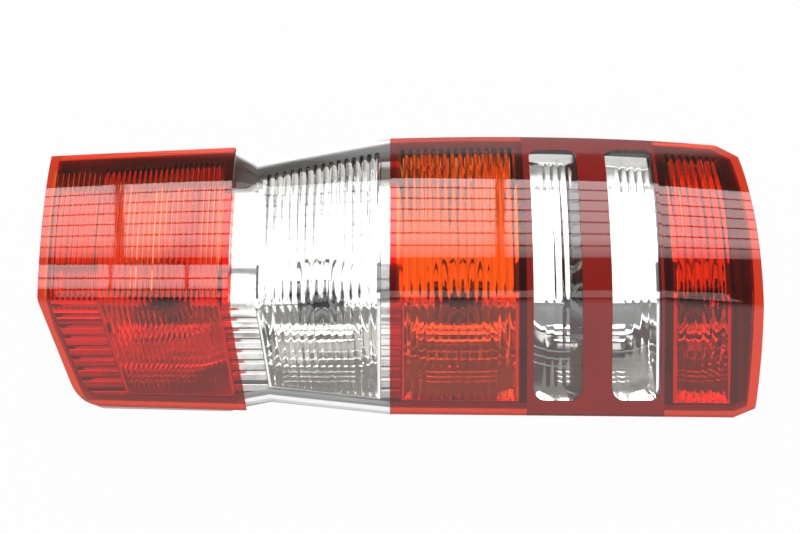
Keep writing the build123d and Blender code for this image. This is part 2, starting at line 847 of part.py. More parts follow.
def ground_track():
    """One strip along the carrier with a tab under each socket."""
    y = bulb_y + ground_offset
    z0 = plate_bottom_z - track_thickness
    half = track_width / 2
    strip = box(bulb_x["fog"] - half, bulb_x["tail"] + half, y - half, y + half, z0, plate_bottom_z)
    for x in bulb_x.values():
        strip += box(x - half, x + half, y - half, bulb_y - cap_radius / 2, z0, plate_bottom_z)
    return strip


def supply_tracks():
    """One strip for each bulb, from the connector along the carrier and across to the socket."""
    z0 = plate_bottom_z - track_thickness
    half = track_width / 2
    tracks = []
    for group, side in ((("brake", "reverse", "fog"), -1), (("turn", "tail"), 1)):
        start = connector_x + side * connector_length / 2
        for index, name in enumerate(group):
            y = bulb_y + track_first_offset + index * track_pitch
            x = bulb_x[name]
            low, high = sorted((start, x + side * half))
            run = box(low, high, y - half, y + half, z0, plate_bottom_z)
            run += box(x - half, x + half, bulb_y - half, y + half, z0, plate_bottom_z)
            tracks.append(run)
    return tracks


def connector_shell():
    """A rectangular socket for the harness plug, open towards the back."""
    half_x = connector_length / 2
    half_y = connector_width / 2
    shell = box(
        connector_x - half_x, connector_x + half_x, bulb_y - half_y, bulb_y + half_y,
        connector_mouth_z, plate_bottom_z - track_thickness,
    )
    return shell - box(
        connector_x - half_x + connector_wall, connector_x + half_x - connector_wall,
        bulb_y - half_y + connector_wall, bulb_y + half_y - connector_wall,
        connector_mouth_z, plate_bottom_z - track_thickness - connector_wall,
    )


def connector_pins():
    """A row of flat blades standing in the connector."""
    z1 = plate_bottom_z - track_thickness - connector_wall
    first = connector_x - (pin_count - 1) * pin_pitch / 2
    pins = []
    for index in range(pin_count):
        x = first + index * pin_pitch
        pins.append(
            box(
                x - pin_width / 2, x + pin_width / 2, bulb_y - pin_thickness / 2, bulb_y + pin_thickness / 2,
                z1 - pin_length, z1,
            )
        )
    return pins


def mounting_studs():
    """Four steel studs, each with a thicker root and a round collar held in the housing's boss."""
    studs = []
    for x, y in stud_places():
        stud = rod(x, y, stud_tip_z, 0.0, stud_radius)
        stud = chamfer(stud.edges().sort_by(Axis.Z)[0], stud_tip_chamfer)
        stud += rod(x, y, 0.0, stud_root_z, stud_root_radius)
        studs.append(stud + rod(x, y, stud_root_z - stud_collar, stud_root_z, stud_collar_radius))
    return studs


def body_seal():
    """A foam ring under the flange, round the housing's neck."""
    outer = inset_outline(lens_lip + body_seal_setback)
    inner = inset_outline(neck_inset - body_seal_clearance)
    return prism(outer - inner, flange_z - body_seal_height, flange_z)


def breather_cap():
    """A small rubber cap over the vent hole in the back."""
    cap = rod(breather_x, breather_y, -breather_height, 0.0, breather_radius)
    return cap - rod(breather_x, breather_y, -breather_height / 2, 0.0, breather_bore)


def save(name, shape):
    """Write one node; a list becomes a group of separate solids."""
    solids = shape if isinstance(shape, list) else [shape]
    pieces = [solid for item in solids for solid in item.solids()]
    export_step(pieces[0] if len(pieces) == 1 else Compound(children=pieces), f"parts/{name}.step")


def main():
    os.makedirs("parts", exist_ok=True)
    for name, shot in lens_shots().items():
        save(name, shot)
    ceiling = cover(rim_inset)
    rim_floor = cover(rim_inset + reflector_wall)
    undersides = {name: dish(name, reflector_wall) for name in chambers}
    for name in chambers:
        save(f"reflector_{name}", reflector(name, ceiling, rim_floor, undersides[name]))
        save(f"bulb_glass_{name}", bulb_glass(bulb_x[name]))
        save(f"bulb_cap_{name}", bulb_cap(bulb_x[name]))
    fog_left, fog_lean, fog_right, fog_slant = chambers["fog"]
    reverse_left, reverse_lean, reverse_right, _ = chambers["reverse"]
    brake_left = chambers["brake"][0]
    waist_drop = max(waist_depth_rear, waist_depth_side)
    save("ribbed_trim_end", ribbed_trim(lower_end_x - reach, 0.0, fog_left, fog_lean, 0.0))
    save("ribbed_trim_waist", ribbed_trim(fog_right, fog_slant, reverse_left, reverse_lean, waist_drop))
    save("ribbed_trim_centre", ribbed_trim(reverse_right, 0.0, brake_left, 0.0, 0.0))
    save("housing", housing(undersides))
    save("bulb_carrier", bulb_carrier())
    save("carrier_seal", carrier_seal())
    save("centre_contacts", centre_contacts())
    save("ground_track", ground_track())
    save("supply_tracks", supply_tracks())
    save("connector_shell", connector_shell())
    save("connector_pins", connector_pins())
    save("mounting_studs", mounting_studs())
    save("body_seal", body_seal())
    save("breather_cap", breather_cap())


main()
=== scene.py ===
import math

import bpy
import numpy as np
from bpy.props import FloatProperty, FloatVectorProperty, IntProperty, PointerProperty
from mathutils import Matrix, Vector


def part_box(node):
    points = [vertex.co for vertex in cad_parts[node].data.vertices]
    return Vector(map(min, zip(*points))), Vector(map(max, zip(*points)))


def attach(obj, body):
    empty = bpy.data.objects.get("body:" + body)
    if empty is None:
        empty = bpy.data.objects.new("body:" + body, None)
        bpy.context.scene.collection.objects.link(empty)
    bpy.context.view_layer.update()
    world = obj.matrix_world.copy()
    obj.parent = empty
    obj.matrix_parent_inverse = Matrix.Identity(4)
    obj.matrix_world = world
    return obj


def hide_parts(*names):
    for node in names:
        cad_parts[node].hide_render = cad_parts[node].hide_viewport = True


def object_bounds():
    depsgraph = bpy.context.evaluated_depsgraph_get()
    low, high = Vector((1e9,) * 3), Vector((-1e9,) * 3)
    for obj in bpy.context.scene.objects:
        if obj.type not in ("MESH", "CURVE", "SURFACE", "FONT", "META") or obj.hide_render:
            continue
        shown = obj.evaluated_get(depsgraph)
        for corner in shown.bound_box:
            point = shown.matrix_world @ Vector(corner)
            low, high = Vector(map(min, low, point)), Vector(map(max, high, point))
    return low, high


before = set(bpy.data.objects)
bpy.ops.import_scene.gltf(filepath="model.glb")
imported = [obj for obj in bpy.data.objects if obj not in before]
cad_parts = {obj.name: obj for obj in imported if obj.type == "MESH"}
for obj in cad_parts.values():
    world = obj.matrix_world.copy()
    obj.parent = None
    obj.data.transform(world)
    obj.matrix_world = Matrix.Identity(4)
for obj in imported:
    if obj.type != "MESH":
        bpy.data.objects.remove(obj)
CAD_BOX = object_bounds()

bl_info = {
    "name": "Tail Light Cluster",
    "version": (1, 0, 0),
    "blender": (4, 5, 0),
    "location": "View3D > Sidebar > Tail Light",
    "description": "Dresses a van's tail light cluster: lens shots, reflectors, finishes and stage",
    "category": "Object",
}

# Places read from the frame, in metres. X runs along the lamp, Y across it, Z out of the lens.
LOWER_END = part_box("lens_red_lower")[0][0]
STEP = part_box("lens_clear")[0][0]
CLEAR_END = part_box("lens_red_middle")[0][0]
BAND_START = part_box("lens_dark_band")[0][0]
BAND_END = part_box("lens_dark_band")[1][0]
UPPER_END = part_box("lens_red_upper")[1][0]
FLOOR_Z = CAD_BOX[0][2]
MM = 0.001

# Lens faces: the rear face is an arc about a lengthwise axis, the side face a plane; they meet at a crease
CREASE_Y = -30.0 * MM
CREASE_Z = 84.0 * MM
REAR_RADIUS = 157.2 * MM
REAR_AXIS_Y = -6.4 * MM
REAR_AXIS_Z = CREASE_Z - math.sqrt(REAR_RADIUS**2 - (CREASE_Y - REAR_AXIS_Y) ** 2)
SIDE_RISE = math.tan(math.radians(29.745))
BOUNDARY_SLANT = math.tan(math.radians(10.9))
UPPER_DROOP = 1.4 * MM

# Waist between the lower red field and the clear field
WAIST = STEP + 15.0 * MM
WAIST_STEP = {"rear": 1.5 * MM, "side": 1.0 * MM}
WAIST_DEPTH = {"rear": 5.6 * MM, "side": 4.0 * MM}
WAIST_SOFTNESS = 1.2 * MM

# Plan outline of the lens: corner points of its two long edges, and the bows and chamfers of its upper end
DOOR_EDGE = np.array([(-214.5, 76.2), (-102.0, 85.4), (-87.0, 74.9), (-6.0, 96.1)]) * MM
DOOR_BOW = np.polyfit(np.array([-6.0, 75.2, 195.5]) * MM, np.array([96.1, 98.1, 88.5]) * MM, 2)
DOOR_CORNER = np.array([208.2, 76.3]) * MM
DOOR_CHAMFER = 12.2 / 12.7
SIDE_EDGE_LOWER = np.array([(-190.2, -84.0), (-91.1, -86.4)]) * MM
SIDE_EDGE_UPPER = np.array(
    [(-91.7, -83.2), (-77.4, -80.1), (-6.0, -88.2), (198.0, -90.1), (211.0, -85.4)]
) * MM
LOWER_CUT = 24.3 / 54.0
LOWER_CORNER = 20.0 * MM
PLAN_ROUNDS = 8

# Flutes: shallower on the side face and in the bars, with soft ends and plain margins round them
SIDE_FLUTE_SHARE = 0.55
BAR_FLUTE_SHARE = 0.35
FIELD_MARGIN = 3.0 * MM
BAR_MARGIN = 0.5 * MM
DOOR_MARGIN = 14.0 * MM
SIDE_MARGIN = 8.0 * MM
CREASE_MARGIN_REAR = 0.5 * MM
CREASE_MARGIN_SIDE = 1.5 * MM
FLUTE_EASE = 2.0 * MM
FLUTE_STEPS = 8

# Cloudy lip along the side edge, and how soon it clears
LIP_WIDTH = 1.5 * MM
LIP_EASE = 1.0 * MM
LIP_CLEARNESS = 0.2

# Clear bars in the dark band
BAR_WIDTH = 29.0 * MM
BAR_CENTRES = (BAND_START + 18.5 * MM, BAND_START + 65.1 * MM)
BAR_SIDE = -82.5 * MM
BAR_DOOR = 83.0 * MM
BAR_CORNER = 7.0 * MM

# Reflector boxes: lower and upper wall on the rear face, each with its slant on the side face
LAST_WALL = UPPER_END - 18.5 * MM
CHAMBERS = {
    "fog": (LOWER_END + 34.5 * MM, math.tan(math.radians(20.9)), STEP - 5.0 * MM, BOUNDARY_SLANT),
    "reverse": (WAIST + 1.0 * MM, BOUNDARY_SLANT, CLEAR_END - 5.6 * MM, 0.0),
    "brake": (CLEAR_END + 6.8 * MM, 0.0, BAND_START - 4.4 * MM, 0.0),
    "turn": (BAND_START + 2.0 * MM, 0.0, BAND_END - 2.8 * MM, 0.0),
    "tail": (BAND_END + 5.7 * MM, 0.0, LAST_WALL, 0.0),
}

# Spans along X of the flutes on the rear face
FLUTE_SPANS = {
    "fog": (LOWER_END + FIELD_MARGIN, STEP - FIELD_MARGIN),
    "reverse": (WAIST + FIELD_MARGIN, CLEAR_END - FIELD_MARGIN),
    "brake": (CLEAR_END + FIELD_MARGIN, BAND_START - FIELD_MARGIN),
    "tail": (BAND_END + FIELD_MARGIN, LAST_WALL),
}

# Walls and floor of a reflector box: a flat round the bulb hole, a slope with ledges, and fine ridges
CHAMBER_INSET = 7.5 * MM
CHAMBER_DOOR_INSET = 13.5 * MM
REFLECTOR_WALL = 1.6 * MM
RIM_INSET = 7.4 * MM
DISH_FLOOR_Z = 20.0 * MM
DISH_FLOOR_RADIUS = 21.0 * MM
DISH_CLIMB = math.tan(math.radians(27.5))
DISH_LEDGES = np.array([35.0, 41.0, 47.0]) * MM
DISH_LEDGE_WIDTH = 1.0 * MM
DISH_SOFTNESS = 0.5 * MM
DISH_RIDGES = np.array([16.5, 25.5, 52.0, 56.0, 60.0]) * MM
RIDGE_HALF = 0.8 * MM
RIDGE_HEIGHTS = np.array([0.16, 0.18, 0.07, 0.07, 0.07]) * MM
RIDGE_SWAYS = np.array([0.0, 0.0, 2.4, 2.4, 2.4]) * MM
RIDGE_PITCH = 5.2 * MM
RIDGE_REACH = 26.0 * MM
RIDGE_EASE_X = 8.0 * MM
RIDGE_EASE_Y = 6.0 * MM
DISH_HOLE = 13.6 * MM
DOOR_CLIMB = math.tan(math.radians(12.5))
BULB_Y = -4.0 * MM

# Least distances between rows of points, on the floor and round the rim
ROW_GAP = 0.1 * MM
RIM_GAP = 0.05 * MM

# Rows, columns and steps of the grids
FIELD_ROWS = 110
BAR_ROWS = 150
BAR_COLUMNS = 49
BAND_SIDE_STEPS = 80
BAND_ROWS = 12
BOX_SIDE_STEPS = 90
BOX_WALL_ROWS = 6
PANEL_GRID = (25, 60)

# Refractive indices; a bulb's glass is a thin envelope, which hardly bends light
ACRYLIC_IOR = 1.53
THIN_GLASS = 1.04

# Studio panels: lower and upper angle about the lamp's length in degrees, then start and stop in X
MAIN_PANEL = (25.4, 73.0, -0.55, 0.55)
MAIN_ARCH = 42.0
LOWER_PANEL = (7.0, 22.4, -0.6, -0.16)
LOWER_SEAMS = 2
STRIP_PANEL = (-12.0, 6.0, -2.2, 2.2)
STRIP_SEAMS = 1
PANEL_RADIUS = 1.5
PANEL_AXIS_Z = 0.05
CROSS_SEAMS = 5
SEAM_WIDTH = 0.13
CROSS_SEAM_WIDTH = 0.05
SEAM_LIGHT = 0.1
LOW_EDGE_FADE = 0.25
LOW_EDGE_LIGHT = 0.35

# Floor and camera
FLOOR_HALF = 6.0
FLOOR_GLOW = 0.98
CAMERA_PLACE = (0.0, -0.66805, 1.49764)
CAMERA_TILT = math.radians(25.0)
CAMERA_LENS = 118.087
CAMERA_SENSOR = 36.0

# Shade of the studio room at places along Y, from the white camera's side to the dim, warm far side
ROOM_STOPS = (
    (-1.0, (1.0, 1.0, 1.0)),
    (-0.45, (1.0, 1.0, 1.0)),
    (-0.2, (0.2, 0.2, 0.2)),
    (0.1, (0.14, 0.14, 0.14)),
    (0.5, (0.2, 0.2, 0.2)),
    (0.94, (0.15, 0.132, 0.118)),
    (1.0, (0.18, 0.158, 0.14)),
)


class LensSettings(bpy.types.PropertyGroup):
    """Sizes and colours of the lens."""

    wall: FloatProperty(
        name="Wall", description="Thickness of the lens", default=3.4 * MM, unit="LENGTH",
    )
    crease_softness: FloatProperty(
        name="Crease softness", description="How far the crease is rounded off", default=1.3 * MM,
        unit="LENGTH",
    )
    flute_depth: FloatProperty(
        name="Flute depth", description="Depth of the flutes inside the lens", default=0.9 * MM,
        unit="LENGTH",
    )
    flute_pitch_fine: FloatProperty(
        name="Fine pitch", description="Flute pitch in the lower red field", default=3.2 * MM,
        unit="LENGTH",
    )
    flute_pitch: FloatProperty(
        name="Pitch", description="Flute pitch in the other fields", default=4.7 * MM, unit="LENGTH",
    )
    red: FloatVectorProperty(
        name="Red", description="What the plain parts of the red shots let through",
        default=(0.72, 0.042, 0.013), subtype="COLOR", size=3,
    )
    # Painted highlight: the window tints are a more orange red than the plain red and stand in for the glare
    # of the bright reflectors seen through the flutes; the middle shot's window is the most orange.
    window: FloatVectorProperty(
        name="Window", description="What the fluted windows of the red shots let through",
        default=(0.79, 0.125, 0.028), subtype="COLOR", size=3,
    )
    window_middle_highlight: FloatVectorProperty(
        name="Middle window", description="What the fluted window of the middle red shot lets through",
        default=(0.89, 0.27, 0.05), subtype="COLOR", size=3,
    )
    clear: FloatVectorProperty(
        name="Clear", description="What the clear shots let through", default=(0.97, 0.975, 0.975),
        subtype="COLOR", size=3,
    )
    # Painted shade: the clear shot's side window takes a darker, warm grey tint that stands in for the dim
    # reflection seen through it.
    window_clear_shade: FloatVectorProperty(
        name="Clear side window", description="Full tint of the clear shot's side window",
        default=(0.76, 0.73, 0.695), subtype="COLOR", size=3,
    )
    dark: FloatVectorProperty(
        name="Dark red", description="Colour of the opaque band", default=(0.22, 0.009, 0.006),
        subtype="COLOR", size=3,
    )


class StageSettings(bpy.types.PropertyGroup):
    """Levels of the studio light."""

    softbox: FloatProperty(name="Softbox", description="Radiance of the softbox", default=5.0)
    overhead: FloatProperty(name="Overhead", description="Radiance of the strip overhead", default=1.9)
    ambient: FloatProperty(name="Ambient", description="Level of the room's own light", default=1.3)
    seams: IntProperty(name="Seams", description="Number of panels along the softbox's curve", default=7)


def soft_min(a, b, softness):
    """The lower of two heights, with the edge between them rounded: (a + b - sqrt((a - b)^2 + k^2)) / 2."""
    return (a + b - np.sqrt((a - b) ** 2 + softness**2)) / 2


def waist_drop(x, step_x, waist_x, face):
    """Depth of the waist along X: a short flank down, a long ramp up, and a rounded valley between them."""
    step = WAIST_STEP[face]
    depth = WAIST_DEPTH[face]
    flank = step + (depth - step) * (x - step_x) / (waist_x - step_x)
    ramp = depth * (CLEAR_END - x) / (CLEAR_END - waist_x)
    return np.maximum(soft_min(flank, ramp, WAIST_SOFTNESS), 0.0)


def lens_height(x, y, inset, waisted):
    """Height of the lens, or of the surface that lies inset below it: the soft minimum of two faces.

    The rear face is z = zc + sqrt((R - inset)^2 - (y - yc)^2) and the side face z = z0 + rise (y - y0),
    both lowered by the waist.
    """
    settings = bpy.context.scene.lamp_lens
    rear = REAR_AXIS_Z + np.sqrt((REAR_RADIUS - inset) ** 2 - (y - REAR_AXIS_Y) ** 2)
    side = CREASE_Z + SIDE_RISE * (y - CREASE_Y) - inset * math.hypot(1.0, SIDE_RISE)
    rear = rear - UPPER_DROOP * np.maximum(x - BAND_END, 0.0) / (UPPER_END - BAND_END)
    if waisted:
        lean = BOUNDARY_SLANT * np.maximum(CREASE_Y - y, 0.0)
        rear = rear - waist_drop(x, STEP, WAIST, "rear")
        side = side - waist_drop(x, STEP + lean, WAIST + lean, "side")
    return soft_min(rear, side, settings.crease_softness)


def door_edge(x):
    """Y of the lens edge on the door side: straight runs, then a bow that ends in a chamfer."""
    straight = np.interp(x, DOOR_EDGE[:, 0], DOOR_EDGE[:, 1])
    bow = np.polyval(DOOR_BOW, x)
    chamfer = DOOR_CORNER[1] + (DOOR_CORNER[0] - x) * DOOR_CHAMFER
    return np.where(x < CLEAR_END, straight, np.minimum(bow, chamfer))


def side_edge_lower(x):
    """Y of the lens edge on the side face, along the lower red field."""
    return np.interp(x, SIDE_EDGE_LOWER[:, 0], SIDE_EDGE_LOWER[:, 1])


def side_edge(x):
    """Y of the lens edge on the side face, from the waist to the upper end."""
    return np.interp(x, SIDE_EDGE_UPPER[:, 0], SIDE_EDGE_UPPER[:, 1])


def lower_end(y):
    """X of the lens's lower end: upright, then cut at a slant on the side face, with a round corner."""
    cut = LOWER_END + LOWER_CUT * np.maximum(CREASE_Y - y, 0.0)
    foot = SIDE_EDGE_LOWER[0, 1]
    centre_y = foot + LOWER_CORNER
    centre_x = LOWER_END + LOWER_CUT * (CREASE_Y - centre_y) + LOWER_CORNER * math.hypot(1.0, LOWER_CUT)
    rise = np.clip(centre_y - y, 0.0, LOWER_CORNER)
    corner = centre_x - np.sqrt(LOWER_CORNER**2 - rise**2)
    tangent_y = centre_y - LOWER_CORNER * math.sin(math.atan(LOWER_CUT))
    return np.where(y < tangent_y, corner, cut)


def upper_end(y):
    """X of the lens's upper end: two half parabolas that meet at the crease."""
    door = (y - CREASE_Y) / (DOOR_CORNER[1] - CREASE_Y)
    side = (y - CREASE_Y) / (SIDE_EDGE_UPPER[-1, 1] - CREASE_Y)
    setback_door = UPPER_END - DOOR_CORNER[0]
    setback_side = UPPER_END - SIDE_EDGE_UPPER[-1, 0]
    return UPPER_END - np.where(y > CREASE_Y, setback_door * door**2, setback_side * side**2)


def slanted(x0, lean):
    """A boundary across the lamp: straight over the rear face, leaning on the side face."""
    return lambda y: x0 + lean * np.maximum(CREASE_Y - y, 0.0)


def plan_grid(left, right, side, door, s, t):
    """Plan places of a field: x = left + s (right - left), y = side + t (door - side), solved together."""
    x = left(0.0) + s * (right(0.0) - left(0.0))
    for _ in range(PLAN_ROUNDS):
        y = side(x) + t * (door(x) - side(x))
        x = left(y) + s * (right(y) - left(y))
    return x, y


def smooth_step(value):
    """A ramp from 0 to 1 with level ends: 3 v^2 - 2 v^3 on the clipped value."""
    v = np.clip(value, 0.0, 1.0)
    return v * v * (3.0 - 2.0 * v)


def ends_closer(count, share):
    """Steps from 0 to 1 as one row: a share of (1 - cos a) / 2, closer at both ends, the rest even."""
    turn = np.linspace(0.0, math.pi, count)[None, :]
    return share * (0.5 - 0.5 * np.cos(turn)) + (1.0 - share) * turn / math.pi


def grid_quads(ids):
    """The faces of a grid of points, from their numbers."""
    return np.stack([ids[:-1, :-1], ids[1:, :-1], ids[1:, 1:], ids[:-1, 1:]], axis=-1).reshape(-1, 4)


def new_object(name, points, quads, material, sharp_degrees):
    """A mesh object at the origin: faces turned outwards, smooth, with edges over an angle kept sharp."""
    corners = points[quads]
    volume = np.einsum("ij,ij->", corners[:, 0], np.cross(corners[:, 1], corners[:, 2]))
    volume += np.einsum("ij,ij->", corners[:, 0], np.cross(corners[:, 2], corners[:, 3]))
    if volume < 0:
        quads = quads[:, ::-1]
    mesh = bpy.data.meshes.new(name)
    mesh.vertices.add(len(points))
    mesh.vertices.foreach_set("co", points.astype(np.float32).ravel())
    mesh.loops.add(quads.size)
    mesh.loops.foreach_set("vertex_index", quads.astype(np.int32).ravel())
    mesh.polygons.add(len(quads))
    mesh.polygons.foreach_set("loop_start", np.arange(0, quads.size, 4, dtype=np.int32))
    mesh.polygons.foreach_set("use_smooth", np.ones(len(quads), dtype=bool))
    mesh.update(calc_edges=True)
    mesh.validate()
    mesh.set_sharp_from_angle(angle=math.radians(sharp_degrees))
    mesh.materials.append(material)
    obj = bpy.data.objects.new(name, mesh)
    bpy.context.scene.collection.objects.link(obj)
    return obj


def slab(name, top, bottom, material, sharp_degrees=30.0):
    """A closed wall between two grids of the same shape, joined round their four edges."""
    rows, columns = top.shape[:2]
    ids = np.arange(rows * columns).reshape(rows, columns)
    upper = grid_quads(ids)
    lower = upper[:, ::-1] + ids.size
    ring = np.concatenate([ids[:-1, 0], ids[-1, :-1], ids[:0:-1, -1], ids[0, :0:-1]])
    follow = np.roll(ring, -1)
    edge = np.stack([follow, ring, ring + ids.size, follow + ids.size], axis=-1)
    points = np.concatenate([top.reshape(-1, 3), bottom.reshape(-1, 3)])
    return new_object(name, points, np.concatenate([upper, lower, edge]), material, sharp_degrees)


def ring_body(name, points, material, sharp_degrees=30.0):
    """A closed ring: a loop of sections, each a closed profile, given as (loop, profile, 3)."""
    loops, profile = points.shape[:2]
    ids = np.arange(loops * profile).reshape(loops, profile)
    along = np.roll(ids, -1, axis=0)
    across = np.roll(ids, -1, axis=1)
    both = np.roll(along, -1, axis=1)
    quads = np.stack([ids, along, both, across], axis=-1).reshape(-1, 4)
    return new_object(name, points.reshape(-1, 3), quads, material, sharp_degrees)


def declare(obj, slot, *nodes):
    """Rides a piece on the lamp and hides the nodes that it stands for. The slot, its finish's name, is not
    used.
    """
    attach(obj, "root")
    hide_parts(*nodes)


def dress(node, material):
    """Gives a CAD node its finish."""
    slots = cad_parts[node].data.materials
    slots.clear()
    slots.append(material)


def new_material(name):
    """A node material with a Principled shader; returns the material, its tree and the shader."""
    material = bpy.data.materials.new(name)
    material.use_nodes = True
    tree = material.node_tree
    shader = tree.nodes["Principled BSDF"]
    return material, tree, shader


def object_noise(tree, scale, detail=3.0, stretch=(1.0, 1.0, 1.0)):
    """Noise on Object coordinates, stretched along the axes."""
    place = tree.nodes.new("ShaderNodeTexCoord")
    mapping = tree.nodes.new("ShaderNodeMapping")
    mapping.inputs["Scale"].default_value = stretch
    noise = tree.nodes.new("ShaderNodeTexNoise")
    noise.inputs["Scale"].default_value = scale
    noise.inputs["Detail"].default_value = detail
    tree.links.new(place.outputs["Object"], mapping.inputs["Vector"])
    tree.links.new(mapping.outputs["Vector"], noise.inputs["Vector"])
    return noise


def spread(tree, source, low, high):
    """A value from low to high while the source goes from 0.3 to 0.7, the usual reach of a noise."""
    ramp = tree.nodes.new("ShaderNodeMapRange")
    ramp.inputs["From Min"].default_value = 0.3
    ramp.inputs["From Max"].default_value = 0.7
    ramp.inputs["To Min"].default_value = low
    ramp.inputs["To Max"].default_value = high
    tree.links.new(source, ramp.inputs["Value"])
    return ramp.outputs["Result"]


def shade_mix(tree, source, dark, light):
    """A colour between two shades. The mix has its colours at sockets 6 and 7 and the result at 2."""
    mix = tree.nodes.new("ShaderNodeMix")
    mix.data_type = "RGBA"
    mix.inputs[6].default_value = (*dark, 1.0)
    mix.inputs[7].default_value = (*light, 1.0)
    tree.links.new(source, mix.inputs[0])
    return mix.outputs[2]


def add_bump(tree, shader, source, strength, distance):
    """Surface relief from a noise."""
    bump = tree.nodes.new("ShaderNodeBump")
    bump.inputs["Strength"].default_value = strength
    bump.inputs["Distance"].default_value = distance
    tree.links.new(source, bump.inputs["Height"])
    tree.links.new(bump.outputs["Normal"], shader.inputs["Normal"])


def point_value(tree, key):
    """A value that the mesh keeps at its points, zero where it has none."""
    value = tree.nodes.new("ShaderNodeAttribute")
    value.attribute_name = key
    return value.outputs["Fac"]


def polished(name, roughness, ior):
    """A see-through material with a slightly uneven polish; also returns its tree, shader and haze."""
    material, tree, shader = new_material(name)
    haze = object_noise(tree, 60.0).outputs["Fac"]
    tree.links.new(spread(tree, haze, 0.0, roughness), shader.inputs["Roughness"])
    shader.inputs["IOR"].default_value = ior
    return material, tree, shader, haze


def bulb_glass(name, tint):
    """Thin glass with a faint haze."""
    material, tree, shader, haze = polished(name, 0.02, THIN_GLASS)
    shade = shade_mix(tree, spread(tree, haze, 0.0, 1.0), [0.97 * c for c in tint], tint)
    tree.links.new(shade, shader.inputs["Base Color"])
    shader.inputs["Transmission Weight"].default_value = 1.0
    return material


def lens_acrylic(name, tint, painted_window_tint, key):
    """Acrylic that takes a second tint, a painted highlight or painted shade, by the mesh's keyed value, and
    turns cloudy by its lip value.
    """
    material, tree, shader, _ = polished(name, 0.04, ACRYLIC_IOR)
    shade = shade_mix(tree, point_value(tree, key), tint, painted_window_tint)
    tree.links.new(shade, shader.inputs["Base Color"])
    clearness = spread(tree, point_value(tree, "lip"), 1.0, LIP_CLEARNESS)
    tree.links.new(clearness, shader.inputs["Transmission Weight"])
    return material


def opaque_gloss(name, tint):
    """Polished opaque plastic with slight depth to its colour."""
    material, tree, shader = new_material(name)
    cloud = object_noise(tree, 40.0).outputs["Fac"]
    shade = shade_mix(tree, spread(tree, cloud, 0.0, 1.0), [0.9 * c for c in tint], tint)
    tree.links.new(shade, shader.inputs["Base Color"])
    tree.links.new(spread(tree, cloud, 0.02, 0.06), shader.inputs["Roughness"])
    shader.inputs["IOR"].default_value = ACRYLIC_IOR
    return material


def metallised(name, low, high):
    """Vacuum metallised plastic: a bright mirror, more or less satin, with a faint unevenness."""
    material, tree, shader = new_material(name)
    film = object_noise(tree, 90.0).outputs["Fac"]
    shade = shade_mix(tree, spread(tree, film, 0.0, 1.0), (0.8, 0.79, 0.77), (0.87, 0.865, 0.85))
    tree.links.new(shade, shader.inputs["Base Color"])
    tree.links.new(spread(tree, film, low, high), shader.inputs["Roughness"])
    shader.inputs["Metallic"].default_value = 1.0
    return material


def moulded(name, dark, light, roughness, grain):
    """Moulded plastic or rubber with a fine grain."""
    material, tree, shader = new_material(name)
    cloud = object_noise(tree, 35.0).outputs["Fac"]
    shade = shade_mix(tree, spread(tree, cloud, 0.0, 1.0), dark, light)
    tree.links.new(shade, shader.inputs["Base Color"])
    tree.links.new(spread(tree, cloud, roughness - 0.07, roughness + 0.07), shader.inputs["Roughness"])
    speck = object_noise(tree, 1800.0, 2.0).outputs["Fac"]
    add_bump(tree, shader, speck, grain, 0.2 * MM)
    return material


def bare_metal(name, dark, light, roughness, stretch):
    """Drawn or plated metal with fine marks along one direction."""
    material, tree, shader = new_material(name)
    marks = object_noise(tree, 500.0, 4.0, stretch).outputs["Fac"]
    shade = shade_mix(tree, spread(tree, marks, 0.0, 1.0), dark, light)
    tree.links.new(shade, shader.inputs["Base Color"])
    tree.links.new(spread(tree, marks, roughness - 0.06, roughness + 0.1), shader.inputs["Roughness"])
    shader.inputs["Metallic"].default_value = 1.0
    add_bump(tree, shader, marks, 0.15, 0.1 * MM)
    return material


def flute_wave(s, length, margin, pitch):
    """Round flutes along a field: (2 v)^2 in each pitch, from mid first to mid last."""
    count = int((length - 2 * margin) / pitch)
    u = (s * length - (length - count * pitch) / 2) / pitch
    v = u - np.floor(u) - 0.5
    return np.where((u > 0.5) & (u < count - 0.5), (2.0 * v) ** 2, 0.0)


def between(value, low, high):
    """One between two limits and zero outside them, with soft ends."""
    return smooth_step((value - low) / FLUTE_EASE) * smooth_step((high - value) / FLUTE_EASE)


def flute_windows(y, side, door):
    """Where flutes are cut across the lamp: on the rear face and, as a second value, on the side face."""
    rear = between(y, CREASE_Y + CREASE_MARGIN_REAR, door - DOOR_MARGIN)
    flank = between(y, side + SIDE_MARGIN, CREASE_Y - CREASE_MARGIN_SIDE)
    return rear, SIDE_FLUTE_SHARE * flank


